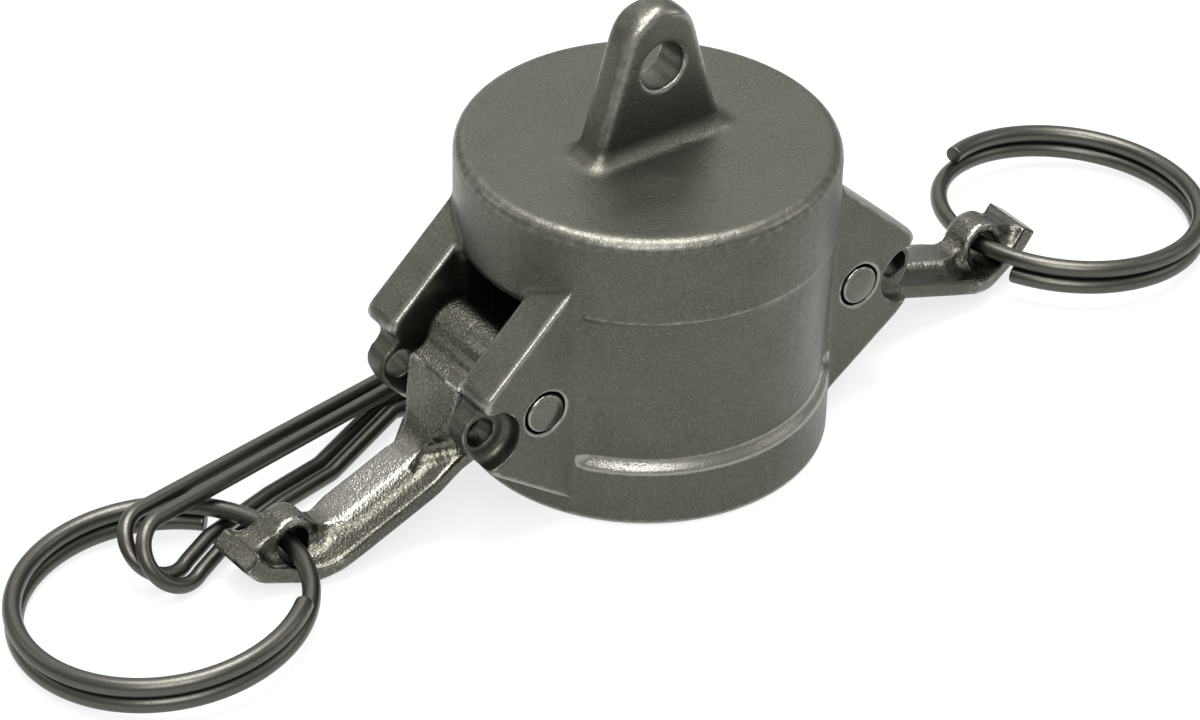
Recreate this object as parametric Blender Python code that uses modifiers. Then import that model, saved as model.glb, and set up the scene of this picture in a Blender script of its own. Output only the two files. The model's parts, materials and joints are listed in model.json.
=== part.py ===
"""Camlock dust cap for a 1 inch cam and groove adapter, arms open as it lies on a table.

Metres, +Z up. The origin is the middle of the mouth, on the plane of its rim. X runs from one
cam arm to the other, and Y runs along the pivot pins. "Left" is -X and "front" is -Y.
Each arm has its own frame: s runs from the pivot to the tip, n stands up from the arm, and
y is the world's. An open arm slopes down by its rest angle.
"""
from math import atan2, cos, hypot, pi, radians, sin, sqrt, tan
from typing import NamedTuple

import bmesh
import bpy
from mathutils import Matrix, Vector

PARTS = "camlock_dust_cap"
CUTTERS = "cutters"

# Adapter that the cap closes, and the fits
ADAPTER_RADIUS = 0.01830
BORE_CLEARANCE = 0.00035
FIT_GAP = 0.00030
WELD = 0.00001
SINK = 0.00004

# Cap body, turned
CAP_HEIGHT = 0.04010
SIDE_WALL = 0.00435
TOP_WALL = 0.00430
HEAD_FILLET = 0.00160
HEAD_EDGE_Z = 0.02860
HEAD_STEP = 0.00040
WAIST_TAPER = 0.00060
LEDGE_Z = 0.00820
LEDGE_COVE = 0.00075
MOUTH_CHAMFER = 0.00080
TURN_STEPS = 80

# Gasket
GASKET_GROOVE_DEPTH = 0.00145
GASKET_WIDTH = 0.00610
GASKET_THICKNESS = 0.00630
GASKET_CORNER = 0.00070
GASKET_STEPS = 56

# Pivots of the cam arms
PIVOT_OUTSIDE_ADAPTER = 0.00500
PIVOT_Z = 0.01700
PIN_RADIUS = 0.00250
PIN_PROUD = 0.00030
PIN_CHAMFER = 0.00045

# Ears, in X and Z from the pivot
EAR_THICKNESS = 0.00580
EAR_ROOT = -0.00630
EAR_TIP = (0.00810, 0.00470)
EAR_NOSE = (0.00860, 0.00360)
EAR_NOTCH = (0.00780, 0.00220)
EAR_KNEE = (0.00890, -0.00420)
EAR_HEEL = (0.00670, -0.00660)
EAR_TOP_SLOPE = radians(43)
EAR_UNDER_SLOPE = radians(36)
EAR_EDGE = 0.00050
EAR_ROOT_FILLET = 0.00220
SAFETY_HOLE = (0.00750, -0.00120)
SAFETY_HOLE_RADIUS = 0.00185
SAFETY_LUG_RADIUS = 0.00260
SAFETY_LUG_THICKNESS = 0.00330
SCALLOP_RADIUS = 0.00390

# Windows in the wall, where the cams reach the adapter
WINDOW_SIDE_GAP = 0.00075
EAR_SET_BACK = 0.00020
WINDOW_ABOVE_PIVOT = 0.01100
WINDOW_BELOW_PIVOT = 0.00750
WINDOW_CORNER = 0.00150

# Lanyard lug on the top of the cap
LUG_HOLE_Z = 0.01070
LUG_HOLE_RADIUS = 0.00305
LUG_ARCH_RADIUS = 0.00530
LUG_ARCH_Z = 0.01290
LUG_FLARE = radians(16.5)
LUG_THICKNESS = 0.00480
LUG_EDGE = 0.00150
LUG_ROOT_FILLET = 0.00180

# Cam arm: hub and cam lobe
HUB_HALF_WIDTH = 0.00575
HUB_RADIUS = 0.00460
LOBE_RADIUS = 0.00450
LOBE_BACK = 0.00030
LOBE_RISE = 0.00260
HUB_EDGE = 0.00110

# Cam arm: flange, web and neck, in s and n
ARM_LENGTH = 0.03145
FLANGE_BOTTOM = -0.00600
FLANGE_THICKNESS = 0.00210
FLANGE_ROOT_HALF_WIDTH = 0.00565
FLANGE_FRONT_WIDTH = 0.00630
FLANGE_REAR_WIDTH = 0.00290
FLANGE_TAPER_LEAD = 0.00295
FLANGE_EDGE = 0.00050
WEB_TOP = -0.00260
WEB_HALF_WIDTH = 0.00165
WEB_FILLET = 0.00080
WEB_EDGE = 0.00040
NECK_HALF_WIDTH = 0.00500
NECK_START = 0.00640
NECK_END = 0.01400
NECK_TOP = 0.00440

# Cam arm: ring boss and turned-up tab, in s and n from the ring hole
RING_HOLE_N = -0.00130
RING_HOLE_RADIUS = 0.00215
BOSS_RADIUS = 0.00335
BOSS_HALF_WIDTH = 0.00210
BOSS_EDGE = 0.00050
TAB_BEND = (0.00055, 0.00500)
TAB_ELBOW = (0.00615, -0.00190, 0.00300)
TAB_END = (0.00720, 0.00130)
TAB_THICKNESS = 0.00270
TAB_HALF_WIDTH = 0.00360
GUSSET_TOP = 0.00160

# Pull rings: split rings of one wire, with its ends overlapping
RING_RADIUS = 0.01700
RING_WIRE_RADIUS = 0.00110
RING_PITCH = 0.00232
RING_SWEEP = radians(630)
RING_STEP = radians(12)

# Safety clips: one bent wire each, in u along the straight leg and v across it
CLIP_WIRE_RADIUS = 0.000975
CLIP_LEG = 0.04501
CLIP_BOW_RADIUS = 0.00420
CLIP_BOW_OVERLAP = radians(26)
CLIP_WAVES = (
    (0.00661, 0.00664, 0.00250),
    (0.01724, 0.00567, 0.00400),
    (0.02625, 0.00543, 0.00350),
    (0.03920, 0.00255, 0.00250),
    (0.04370, 0.00345, 0.0),
)
CLIP_STEP = 0.00240
CLIP_REAR_FOOT = (-0.01276, 0.01200, 0.00260)
CLIP_FRONT_FOOT = (-0.01216, 0.00867, 0.00327)


class Side(NamedTuple):
    """What differs between the left and the right arm."""

    name: str
    sign: int
    arm_slope: float
    arm_shift: float
    arm_skew: float
    ring_tilt: float
    ring_roll: float
    ring_shift: float
    ring_seat: float
    ring_start: float


class Clip(NamedTuple):
    """Where a clip lies: its bow's foot from the ring's hinge, its leg's heading, its turn about the leg."""

    name: str
    foot: tuple
    heading: float
    climb: float
    turn: float
    thread_angle: float


SIDES = (
    Side("left", -1, radians(20.4), -0.00035, radians(1.4), radians(3.0), radians(-0.9), -0.00100, 0.00060,
         radians(-318)),
    Side("right", 1, radians(18.6), 0.0, 0.0, radians(4.7), radians(-1.5), 0.00050, 0.00100, radians(-336)),
)
CLIPS = (
    Clip("rear", CLIP_REAR_FOOT, radians(13.7), radians(-4.7), radians(40.8), radians(42.1)),
    Clip("front", CLIP_FRONT_FOOT, radians(14.7), radians(-5.1), radians(49.5), radians(31.2)),
)

BORE_RADIUS = ADAPTER_RADIUS + BORE_CLEARANCE
HEAD_RADIUS = BORE_RADIUS + SIDE_WALL
SKIRT_RADIUS = HEAD_RADIUS - HEAD_STEP - WAIST_TAPER + LEDGE_COVE
GASKET_GROOVE_RADIUS = BORE_RADIUS + GASKET_GROOVE_DEPTH
CEILING_Z = CAP_HEIGHT - TOP_WALL
PIVOT_X = ADAPTER_RADIUS + PIVOT_OUTSIDE_ADAPTER
WINDOW_HALF_WIDTH = HUB_HALF_WIDTH + WINDOW_SIDE_GAP
EAR_INNER_Y = WINDOW_HALF_WIDTH + EAR_SET_BACK
EAR_OUTER_Y = EAR_INNER_Y + EAR_THICKNESS
FLANGE_TOP = FLANGE_BOTTOM + FLANGE_THICKNESS
FLANGE_TAPER_START = ARM_LENGTH - FLANGE_TAPER_LEAD


def clear_scene():
    """Empty the file of objects and collections."""
    for obj in list(bpy.data.objects):
        bpy.data.objects.remove(obj, do_unlink=True)
    for collection in list(bpy.data.collections):
        bpy.data.collections.remove(collection)


def add_collection(name):
    """New collection under the scene's own."""
    collection = bpy.data.collections.new(name)
    bpy.context.scene.collection.children.link(collection)


def add_material(name, colour, roughness, metallic):
    """Principled material of one colour."""
    material = bpy.data.materials.new(name)
    material.use_nodes = True
    shader = material.node_tree.nodes["Principled BSDF"]
    shader.inputs["Base Color"].default_value = (*colour, 1.0)
    shader.inputs["Roughness"].default_value = roughness
    shader.inputs["Metallic"].default_value = metallic
    material.diffuse_color = (*colour, 1.0)
    return material


def add_object(name, data, collection=PARTS):
    """New object with that mesh or curve."""
    obj = bpy.data.objects.new(name, data)
    bpy.data.collections[collection].objects.link(obj)
    if collection == CUTTERS:
        obj.hide_render = True
        obj.display_type = "WIRE"
    return obj


def add_tool(name, bm):
    """Shape to cut or join with, from a bmesh."""
    mesh = bpy.data.meshes.new(name)
    bm.to_mesh(mesh)
    bm.free()
    return add_object(name, mesh, CUTTERS)


def evaluated_mesh(obj, name):
    """Mesh of an object with its modifiers applied, or of a curve with its caps welded."""
    depsgraph = bpy.context.evaluated_depsgraph_get()
    mesh = bpy.data.meshes.new_from_object(obj.evaluated_get(depsgraph))
    mesh.name = name
    bm = bmesh.new()
    bm.from_mesh(mesh)
    bmesh.ops.remove_doubles(bm, verts=bm.verts, dist=WELD)
    bm.to_mesh(mesh)
    bm.free()
    return mesh


def finish_mesh(blank, name):
    """Mesh of a finished blank, shaded smooth but for its sharp edges. Its tools go with it."""
    mesh = evaluated_mesh(blank, name)
    mesh.materials.clear()
    mesh.shade_smooth()
    mesh.set_sharp_from_angle(angle=radians(32))
    for obj in list(bpy.data.collections[CUTTERS].objects):
        bpy.data.objects.remove(obj, do_unlink=True)
    return mesh


def round_edges(obj, width, segments=2):
    """Round every sharp edge of an object."""
    bevel = obj.modifiers.new("rounded_edges", "BEVEL")
    bevel.width = width
    bevel.segments = segments
    bevel.limit_method = "ANGLE"
    bevel.angle_limit = radians(30)


def combine(target, operation, tools):
    """Join tools to a blank, or cut them from it."""
    for tool in tools:
        boolean = target.modifiers.new(tool.name, "BOOLEAN")
        boolean.operation = operation
        boolean.solver = "EXACT"
        boolean.object = tool


def turned(name, profile, collection=CUTTERS, steps=TURN_STEPS):
    """Solid of revolution about Z. The profile of (radius, z) runs from the top to the bottom."""
    mesh = bpy.data.meshes.new(name)
    edges = [(i, i + 1) for i in range(len(profile) - 1)]
    mesh.from_pydata([(radius, 0.0, z) for radius, z in profile], edges, [])
    obj = add_object(name, mesh, collection)
    screw = obj.modifiers.new("turned", "SCREW")
    screw.steps = steps
    screw.render_steps = steps
    screw.use_merge_vertices = True
    screw.merge_threshold = WELD
    screw.use_smooth_shade = True
    return obj


def plate(name, outline, low_y, high_y):
    """Flat outline of (x, z) extruded along Y, as a mesh with plain ends."""
    curve = bpy.data.curves.new(name, "CURVE")
    curve.dimensions = "2D"
    curve.fill_mode = "BOTH"
    curve.extrude = (high_y - low_y) / 2
    spline = curve.splines.new("POLY")
    spline.points.add(len(outline) - 1)
    for point, (x, z) in zip(spline.points, outline):
        point.co = (x, z, 0.0, 1.0)
    spline.use_cyclic_u = True
    drawn = add_object(name, curve, CUTTERS)
    drawn.location = (0.0, (low_y + high_y) / 2, 0.0)
    drawn.rotation_euler = (pi / 2, 0.0, 0.0)
    solid = add_object(name + "_solid", evaluated_mesh(drawn, name), CUTTERS)
    solid.matrix_world = Matrix.Translation(drawn.location) @ Matrix.Rotation(pi / 2, 4, "X")
    bpy.data.objects.remove(drawn, do_unlink=True)
    bm = bmesh.new()
    bm.from_mesh(solid.data)
    bmesh.ops.dissolve_limit(bm, angle_limit=radians(0.5), verts=bm.verts, edges=bm.edges)
    bmesh.ops.recalc_face_normals(bm, faces=bm.faces)
    bm.to_mesh(solid.data)
    bm.free()
    return solid


def bar_along_y(name, radius, low_y, high_y, x, z, segments=32):
    """Round bar along Y."""
    middle = Matrix.Translation((x, (low_y + high_y) / 2, z))
    bm = bmesh.new()
    bmesh.ops.create_cone(bm, cap_ends=True, segments=segments, radius1=radius, radius2=radius,
                          depth=high_y - low_y, matrix=middle @ Matrix.Rotation(pi / 2, 4, "X"))
    return add_tool(name, bm)


def block(name, low, high):
    """Box between two corners."""
    low, high = Vector(low), Vector(high)
    bm = bmesh.new()
    bmesh.ops.create_cube(bm, size=1.0)
    bmesh.ops.scale(bm, vec=high - low, verts=bm.verts)
    bmesh.ops.translate(bm, vec=(low + high) / 2, verts=bm.verts)
    return add_tool(name, bm)


def loft(name, sections):
    """Closed skin over sections of equal count, with its two ends filled."""
    bm = bmesh.new()
    rings = [[bm.verts.new(point) for point in section] for section in sections]
    for near, far in zip(rings, rings[1:]):
        for i in range(len(near)):
            bm.faces.new((near[i - 1], near[i], far[i], far[i - 1]))
    bm.faces.new(rings[0])
    bm.faces.new(rings[-1])
    bmesh.ops.recalc_face_normals(bm, faces=bm.faces)
    return add_tool(name, bm)


def arc(centre, radius, start, end, steps):
    """Points on an arc from one angle to another."""
    angles = [start + (end - start) * i / steps for i in range(steps + 1)]
    return [(centre[0] + radius * cos(a), centre[1] + radius * sin(a)) for a in angles]


def rounded_rectangle(half_u, half_v, corner, steps=3):
    """Outline of a rectangle about the origin, with rounded corners."""
    points = []
    for quadrant, (side_u, side_v) in enumerate(((1, 1), (-1, 1), (-1, -1), (1, -1))):
        centre = (side_u * (half_u - corner), side_v * (half_v - corner))
        points += arc(centre, corner, quadrant * pi / 2, (quadrant + 1) * pi / 2, steps)
    return points


def rounded_path(corners, steps=5):
    """Line through (u, v, radius) corners, each rounded to its radius."""
    points = [Vector(corners[0][:2])]
    for before, here, after in zip(corners, corners[1:], corners[2:]):
        middle = Vector(here[:2])
        back = (Vector(before[:2]) - middle).normalized()
        ahead = (Vector(after[:2]) - middle).normalized()
        half = back.angle(ahead) / 2
        centre = middle + (back + ahead).normalized() * (here[2] / sin(half))
        first = middle + back * (here[2] / tan(half)) - centre
        last = middle + ahead * (here[2] / tan(half)) - centre
        swing = first.angle_signed(last)
        for i in range(steps + 1):
            spoke = first.copy()
            spoke.rotate(Matrix.Rotation(-swing * i / steps, 2))
            points.append(centre + spoke)
    points.append(Vector(corners[-1][:2]))
    return points


def evenly_spaced(points, step):
    """The same line with its points about one step apart."""
    lengths = [0.0]
    for near, far in zip(points, points[1:]):
        lengths.append(lengths[-1] + (far - near).length)
    count = max(2, round(lengths[-1] / step))
    spaced, i = [], 0
    for k in range(count + 1):
        want = lengths[-1] * k / count
        while i < len(points) - 2 and lengths[i + 1] < want:
            i += 1
        share = (want - lengths[i]) / (lengths[i + 1] - lengths[i])
        spaced.append(points[i].lerp(points[i + 1], share))
    return spaced


def wire(name, points, radius, material):
    """Round wire along points, as a curve with filled ends."""
    curve = bpy.data.curves.new(name, "CURVE")
    curve.dimensions = "3D"
    curve.bevel_depth = radius
    curve.bevel_resolution = 2
    curve.use_fill_caps = True
    spline = curve.splines.new("POLY")
    spline.points.add(len(points) - 1)
    for point, place in zip(spline.points, points):
        point.co = (*place, 1.0)
    spline.use_smooth = True
    curve.materials.append(material)
    return add_object(name, curve)


def cap_profile():
    """Outer profile of the cap: domed edge, head, tapered waist, ledge with its cove, skirt."""
    waist_top = HEAD_RADIUS - HEAD_STEP
    waist_low = waist_top - WAIST_TAPER
    head_corner = (HEAD_RADIUS - HEAD_FILLET, CAP_HEIGHT - HEAD_FILLET)
    cove_centre = (waist_low + LEDGE_COVE, LEDGE_Z + LEDGE_COVE)
    return [
        (0.0, CAP_HEIGHT),
        *arc(head_corner, HEAD_FILLET, pi / 2, 0.0, 5),
        (HEAD_RADIUS, HEAD_EDGE_Z + HEAD_STEP),
        (waist_top, HEAD_EDGE_Z),
        *arc(cove_centre, LEDGE_COVE, pi, 3 * pi / 2, 3),
        (SKIRT_RADIUS, LEDGE_Z - (SKIRT_RADIUS - waist_low - LEDGE_COVE) / 2),
        (SKIRT_RADIUS, MOUTH_CHAMFER / 2),
        (SKIRT_RADIUS - MOUTH_CHAMFER / 2, 0.0),
        (0.0, 0.0),
    ]


def socket_profile():
    """Profile of the socket: gasket groove under the ceiling, bore, and chamfered mouth."""
    groove_floor = CEILING_Z - GASKET_THICKNESS - 2 * FIT_GAP
    return [
        (0.0, CEILING_Z),
        (GASKET_GROOVE_RADIUS, CEILING_Z),
        (GASKET_GROOVE_RADIUS, groove_floor),
        (BORE_RADIUS, groove_floor),
        (BORE_RADIUS, MOUTH_CHAMFER),
        (BORE_RADIUS + 2 * MOUTH_CHAMFER, -MOUTH_CHAMFER),
        (0.0, -MOUTH_CHAMFER),
    ]


def ear_outline(sign):
    """Outline of an ear in X and Z: sloping top, notched nose, safety lug, knee and heel."""
    hole_x, hole_z = SAFETY_HOLE
    root_top = EAR_TIP[1] + (EAR_TIP[0] - EAR_ROOT) * tan(EAR_TOP_SLOPE)
    root_bottom = EAR_HEEL[1] - (EAR_HEEL[0] - EAR_ROOT) * tan(EAR_UNDER_SLOPE)
    outline = [
        (EAR_ROOT, root_bottom),
        EAR_HEEL,
        EAR_KNEE,
        *arc((hole_x, hole_z), SAFETY_LUG_RADIUS, radians(-25), radians(60), 4),
        EAR_NOTCH,
        EAR_NOSE,
        EAR_TIP,
        (EAR_ROOT, root_top),
    ]
    return [(sign * (PIVOT_X + x), PIVOT_Z + z) for x, z in outline]


def ears():
    """The four ears, two on each side, with a gap between them for the arm."""
    tools = []
    for side in SIDES:
        outline = ear_outline(side.sign)
        for low_y in (-EAR_OUTER_Y, EAR_INNER_Y):
            ear = plate(f"ear_{side.name}", outline, low_y, low_y + EAR_THICKNESS)
            round_edges(ear, EAR_EDGE)
            tools.append(ear)
    return tools


def ear_root_fillets():
    """Upright fillets that blend the ears' outer faces into the waist."""
    waist = HEAD_RADIUS - HEAD_STEP - WAIST_TAPER / 2
    centre_y = EAR_OUTER_Y + EAR_ROOT_FILLET
    centre_x = sqrt((waist + EAR_ROOT_FILLET) ** 2 - centre_y ** 2)
    toward_axis = pi + atan2(centre_y, centre_x)
    inside = waist - HEAD_STEP
    outline = arc((centre_x, centre_y), EAR_ROOT_FILLET, 3 * pi / 2, toward_axis, 4)
    outline += [(inside * cos(toward_axis - pi), inside * sin(toward_axis - pi)),
                (sqrt(inside ** 2 - EAR_OUTER_Y ** 2), EAR_OUTER_Y - EAR_EDGE),
                (centre_x, EAR_OUTER_Y - EAR_EDGE)]
    low_z = PIVOT_Z + EAR_HEEL[1] - (PIVOT_X + EAR_HEEL[0] - centre_x) * tan(EAR_UNDER_SLOPE) + EAR_EDGE
    high_z = HEAD_EDGE_Z + HEAD_STEP / 2
    tools = []
    for side_x in (-1, 1):
        for side_y in (-1, 1):
            place = [(side_x * x, side_y * y) for x, y in outline]
            ends = [[(x, y, z) for x, y in place] for z in (low_z, high_z)]
            tools.append(loft("ear_root_fillet", ends))
    return tools


def lug_section(height):
    """Level section of the lug at a height over the cap: flared, filleted at its root, arched."""
    arch_start = LUG_ARCH_Z + LUG_ARCH_RADIUS * sin(LUG_FLARE)
    lug_top = LUG_ARCH_Z + LUG_ARCH_RADIUS
    half_thickness = LUG_THICKNESS / 2
    if height < arch_start:
        half_width = (LUG_ARCH_RADIUS - (height - LUG_ARCH_Z) * sin(LUG_FLARE)) / cos(LUG_FLARE)
    else:
        half_width = sqrt(LUG_ARCH_RADIUS ** 2 - (height - LUG_ARCH_Z) ** 2)
    if height < LUG_ROOT_FILLET:
        spread = LUG_ROOT_FILLET - sqrt(LUG_ROOT_FILLET ** 2 - (LUG_ROOT_FILLET - height) ** 2)
        half_width += spread
        half_thickness += spread
    over = height - (lug_top - LUG_EDGE)
    if over > 0:
        half_thickness += sqrt(LUG_EDGE ** 2 - over ** 2) - LUG_EDGE
    corner = 0.95 * min(half_width, half_thickness, LUG_EDGE)
    return [(x, y, CAP_HEIGHT + height) for x, y in rounded_rectangle(half_width, half_thickness, corner)]


def lanyard_lug():
    """Arched lug for a lanyard or chain, a loft of level sections sunk into the cap's top."""
    arch_start = LUG_ARCH_Z + LUG_ARCH_RADIUS * sin(LUG_FLARE)
    top_angle = radians(86)
    heights = [LUG_ROOT_FILLET * (1 - cos(radians(a))) for a in (8, 26, 44, 66, 90)]
    heights += [arch_start * share for share in (0.45, 0.75)]
    angles = [LUG_FLARE + (top_angle - LUG_FLARE) * i / 8 for i in range(9)]
    heights += [LUG_ARCH_Z + LUG_ARCH_RADIUS * sin(angle) for angle in angles]
    root = [(x, y, CAP_HEIGHT - HEAD_FILLET) for x, y, z in lug_section(heights[0])]
    lug = loft("lug", [root] + [lug_section(height) for height in heights])
    return lug


def cap_cutters():
    """Socket, windows, pin bores, safety holes with their scallops, and the lug's hole."""
    tools = [turned("socket", socket_profile())]
    outside = EAR_OUTER_Y + SIDE_WALL
    for side in SIDES:
        pivot_x = side.sign * PIVOT_X
        hole_x = side.sign * (PIVOT_X + SAFETY_HOLE[0])
        hole_z = PIVOT_Z + SAFETY_HOLE[1]
        inner_x = side.sign * (BORE_RADIUS - SIDE_WALL)
        outer_x = side.sign * (HEAD_RADIUS + SIDE_WALL)
        window = block(f"window_{side.name}",
                       (min(inner_x, outer_x), -WINDOW_HALF_WIDTH, PIVOT_Z - WINDOW_BELOW_PIVOT),
                       (max(inner_x, outer_x), WINDOW_HALF_WIDTH, PIVOT_Z + WINDOW_ABOVE_PIVOT))
        round_edges(window, WINDOW_CORNER)
        tools.append(window)
        tools.append(bar_along_y("pin_bore", PIN_RADIUS + FIT_GAP, -outside, outside, pivot_x, PIVOT_Z))
        tools.append(bar_along_y("safety_hole", SAFETY_HOLE_RADIUS, -outside, outside, hole_x, hole_z))
        lug_face = EAR_INNER_Y + SAFETY_LUG_THICKNESS
        for low_y, high_y in ((-outside, -lug_face), (lug_face, outside)):
            tools.append(bar_along_y("scallop", SCALLOP_RADIUS, low_y, high_y, hole_x, hole_z))
    tools.append(bar_along_y("lug_hole", LUG_HOLE_RADIUS, -outside, outside, 0.0, CAP_HEIGHT + LUG_HOLE_Z))
    return tools


def make_cap_body(material):
    """Cast cap with its four ears, lug, windows and machined socket."""
    blank = turned("cap_blank", cap_profile())
    combine(blank, "UNION", ears() + ear_root_fillets() + [lanyard_lug()])
    combine(blank, "DIFFERENCE", cap_cutters())
    body = add_object("cap_body", finish_mesh(blank, "cap_body"))
    body.data.materials.append(material)


def make_gasket(material):
    """Flat rubber ring in its groove under the ceiling."""
    middle = GASKET_GROOVE_RADIUS - FIT_GAP - GASKET_WIDTH / 2
    section = rounded_rectangle(GASKET_WIDTH / 2, GASKET_THICKNESS / 2, GASKET_CORNER, 2)
    profile = [(middle + u, v) for u, v in reversed(section)]
    blank = turned("gasket_blank", profile + profile[:1], steps=GASKET_STEPS)
    gasket = add_object("gasket", finish_mesh(blank, "gasket"))
    gasket.location = (0.0, 0.0, CEILING_Z - FIT_GAP - GASKET_THICKNESS / 2)
    gasket.data.materials.append(material)


def make_pins(material):
    """Pivot pins through the ears, with chamfered heads just proud of them."""
    reach = EAR_OUTER_Y + PIN_PROUD
    profile = [(0.0, reach + PIN_CHAMFER / 2), (PIN_RADIUS / 2, reach + PIN_CHAMFER / 3),
               (PIN_RADIUS - PIN_CHAMFER, reach), (PIN_RADIUS, reach - PIN_CHAMFER)]
    profile += [(radius, -y) for radius, y in reversed(profile)]
    blank = turned("pin_blank", profile, steps=32)
    mesh = finish_mesh(blank, "pivot_pin")
    mesh.materials.append(material)
    for side in SIDES:
        pin = add_object(f"pivot_pin_{side.name}", mesh)
        pin.location = (side.sign * PIVOT_X, 0.0, PIVOT_Z)
        pin.rotation_euler = (pi / 2, 0.0, 0.0)


def hub_outline():
    """Side outline of the hub: a round eye with the cam lobe grown out of its top."""
    lobe = (-LOBE_BACK, LOBE_RISE)
    lean = atan2(LOBE_RISE, -LOBE_BACK)
    side_turn = pi / 2 - (HUB_RADIUS - LOBE_RADIUS) / hypot(*lobe)
    eye = arc((0.0, 0.0), HUB_RADIUS, lean + side_turn, lean + 2 * pi - side_turn, 16)
    cam = arc(lobe, LOBE_RADIUS, lean - side_turn, lean + side_turn, 14)
    return eye + cam


def flange_path():
    """Underside line of the flange in s and n, from the hub to the tip of the turned-up tab."""
    bend_s, bend_radius = TAB_BEND
    elbow_s, elbow_n, elbow_radius = TAB_ELBOW
    corners = [(0.0, FLANGE_BOTTOM, 0.0), (ARM_LENGTH + bend_s, FLANGE_BOTTOM, bend_radius),
               (ARM_LENGTH + elbow_s, elbow_n, elbow_radius), (ARM_LENGTH + TAB_END[0], TAB_END[1], 0.0)]
    return rounded_path(corners)


def flange_widths(s):
    """Widths of the flange in front of the arm's middle and behind it: alike at its root and its tab."""
    if s < NECK_END:
        return FLANGE_ROOT_HALF_WIDTH, FLANGE_ROOT_HALF_WIDTH
    tab_s = ARM_LENGTH + TAB_ELBOW[0]
    share = min(1.0, max(0.0, (s - FLANGE_TAPER_START) / (tab_s - FLANGE_TAPER_START)))
    front = FLANGE_FRONT_WIDTH + (TAB_HALF_WIDTH - FLANGE_FRONT_WIDTH) * share
    rear = FLANGE_REAR_WIDTH + (TAB_HALF_WIDTH - FLANGE_REAR_WIDTH) * share
    return front, rear


def flange_and_tab(side):
    """Flange of the arm, carried along its path, wide in front, up to the end of the tab."""
    starts = [HUB_RADIUS / 2, (NECK_START + NECK_END) / 2, NECK_END, FLANGE_TAPER_START]
    path = [Vector((s, FLANGE_BOTTOM)) for s in starts] + flange_path()[1:]
    tab_s = ARM_LENGTH + TAB_ELBOW[0]
    sections = []
    for i, point in enumerate(path):
        ahead = (path[min(i + 1, len(path) - 1)] - path[max(i - 1, 0)]).normalized()
        inward = Vector((-ahead.y, ahead.x))
        front, rear = flange_widths(point.x)
        share = min(1.0, max(0.0, (point.x - FLANGE_TAPER_START) / (tab_s - FLANGE_TAPER_START)))
        thickness = FLANGE_THICKNESS + (TAB_THICKNESS - FLANGE_THICKNESS) * share
        middle = point + inward * (thickness / 2)
        across = side.sign * (rear - front) / 2
        outline = rounded_rectangle((front + rear) / 2, thickness / 2, FLANGE_EDGE, 2)
        sections.append([(middle.x + v * inward.x, across + u, middle.y + v * inward.y) for u, v in outline])
    return loft("flange", sections)


def web_section(s):
    """Section of web and neck at s: upright flanks that run into the flange in a fillet."""
    share = min(1.0, max(0.0, (s - NECK_START) / (NECK_END - NECK_START)))
    ease = share * share * (3 - 2 * share)
    half_width = NECK_HALF_WIDTH + (WEB_HALF_WIDTH - NECK_HALF_WIDTH) * ease
    top = NECK_TOP + (WEB_TOP - NECK_TOP) * sin(pi / 2 * share)
    fillet = min(WEB_FILLET, 0.8 * (FLANGE_ROOT_HALF_WIDTH - half_width))
    flank = arc((half_width + fillet, FLANGE_TOP - SINK + fillet), fillet, 3 * pi / 2, pi, 4)
    shoulder = arc((half_width - WEB_EDGE, top - WEB_EDGE), WEB_EDGE, 0.0, pi / 2, 2)
    half = [(half_width + fillet, FLANGE_TOP - FLANGE_THICKNESS / 2)] + flank + shoulder
    whole = half + [(-y, n) for y, n in reversed(half)]
    return [(s, y, n) for y, n in whole]


def web_and_neck():
    """Web on top of the flange, swelling into the neck and the hub."""
    neck = [NECK_START + (NECK_END - NECK_START) * i / 6 for i in range(7)]
    stations = [HUB_RADIUS / 2] + neck + [ARM_LENGTH - BOSS_RADIUS, ARM_LENGTH]
    return loft("web", [web_section(s) for s in stations])


def ring_boss():
    """Boss round the ring hole, and the gusset between it and the tab."""
    boss = bar_along_y("boss", BOSS_RADIUS, -BOSS_HALF_WIDTH, BOSS_HALF_WIDTH, ARM_LENGTH, RING_HOLE_N, 28)
    round_edges(boss, BOSS_EDGE)
    tab_s = ARM_LENGTH + TAB_END[0] - 0.75 * TAB_THICKNESS
    elbow_s = ARM_LENGTH + TAB_ELBOW[0] - TAB_THICKNESS / 2
    outline = [(ARM_LENGTH - BOSS_HALF_WIDTH, FLANGE_BOTTOM + FLANGE_THICKNESS / 2),
               (ARM_LENGTH + TAB_BEND[0], FLANGE_BOTTOM + FLANGE_THICKNESS / 2),
               (elbow_s, TAB_ELBOW[1]), (tab_s, GUSSET_TOP),
               (ARM_LENGTH + BOSS_HALF_WIDTH, GUSSET_TOP), (ARM_LENGTH, RING_HOLE_N)]
    gusset = plate("gusset", outline, -BOSS_HALF_WIDTH + BOSS_EDGE / 2, BOSS_HALF_WIDTH - BOSS_EDGE / 2)
    return [boss, gusset]


def arm_mesh(side):
    """One cam arm in its own frame: hub with its lobe, neck, web on its flange, ring boss and tab."""
    hub = plate("hub", hub_outline(), -HUB_HALF_WIDTH, HUB_HALF_WIDTH)
    round_edges(hub, HUB_EDGE)
    combine(hub, "UNION", [flange_and_tab(side), web_and_neck()] + ring_boss())
    reach = HUB_HALF_WIDTH + SIDE_WALL
    combine(hub, "DIFFERENCE", [
        bar_along_y("pivot_bore", PIN_RADIUS + FIT_GAP, -reach, reach, 0.0, 0.0),
        bar_along_y("ring_hole", RING_HOLE_RADIUS, -reach, reach, ARM_LENGTH, RING_HOLE_N, 24),
    ])
    rest = hub.matrix_world.copy()
    mesh = finish_mesh(hub, f"cam_arm_{side.name}")
    mesh.transform(rest)
    return mesh


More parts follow.
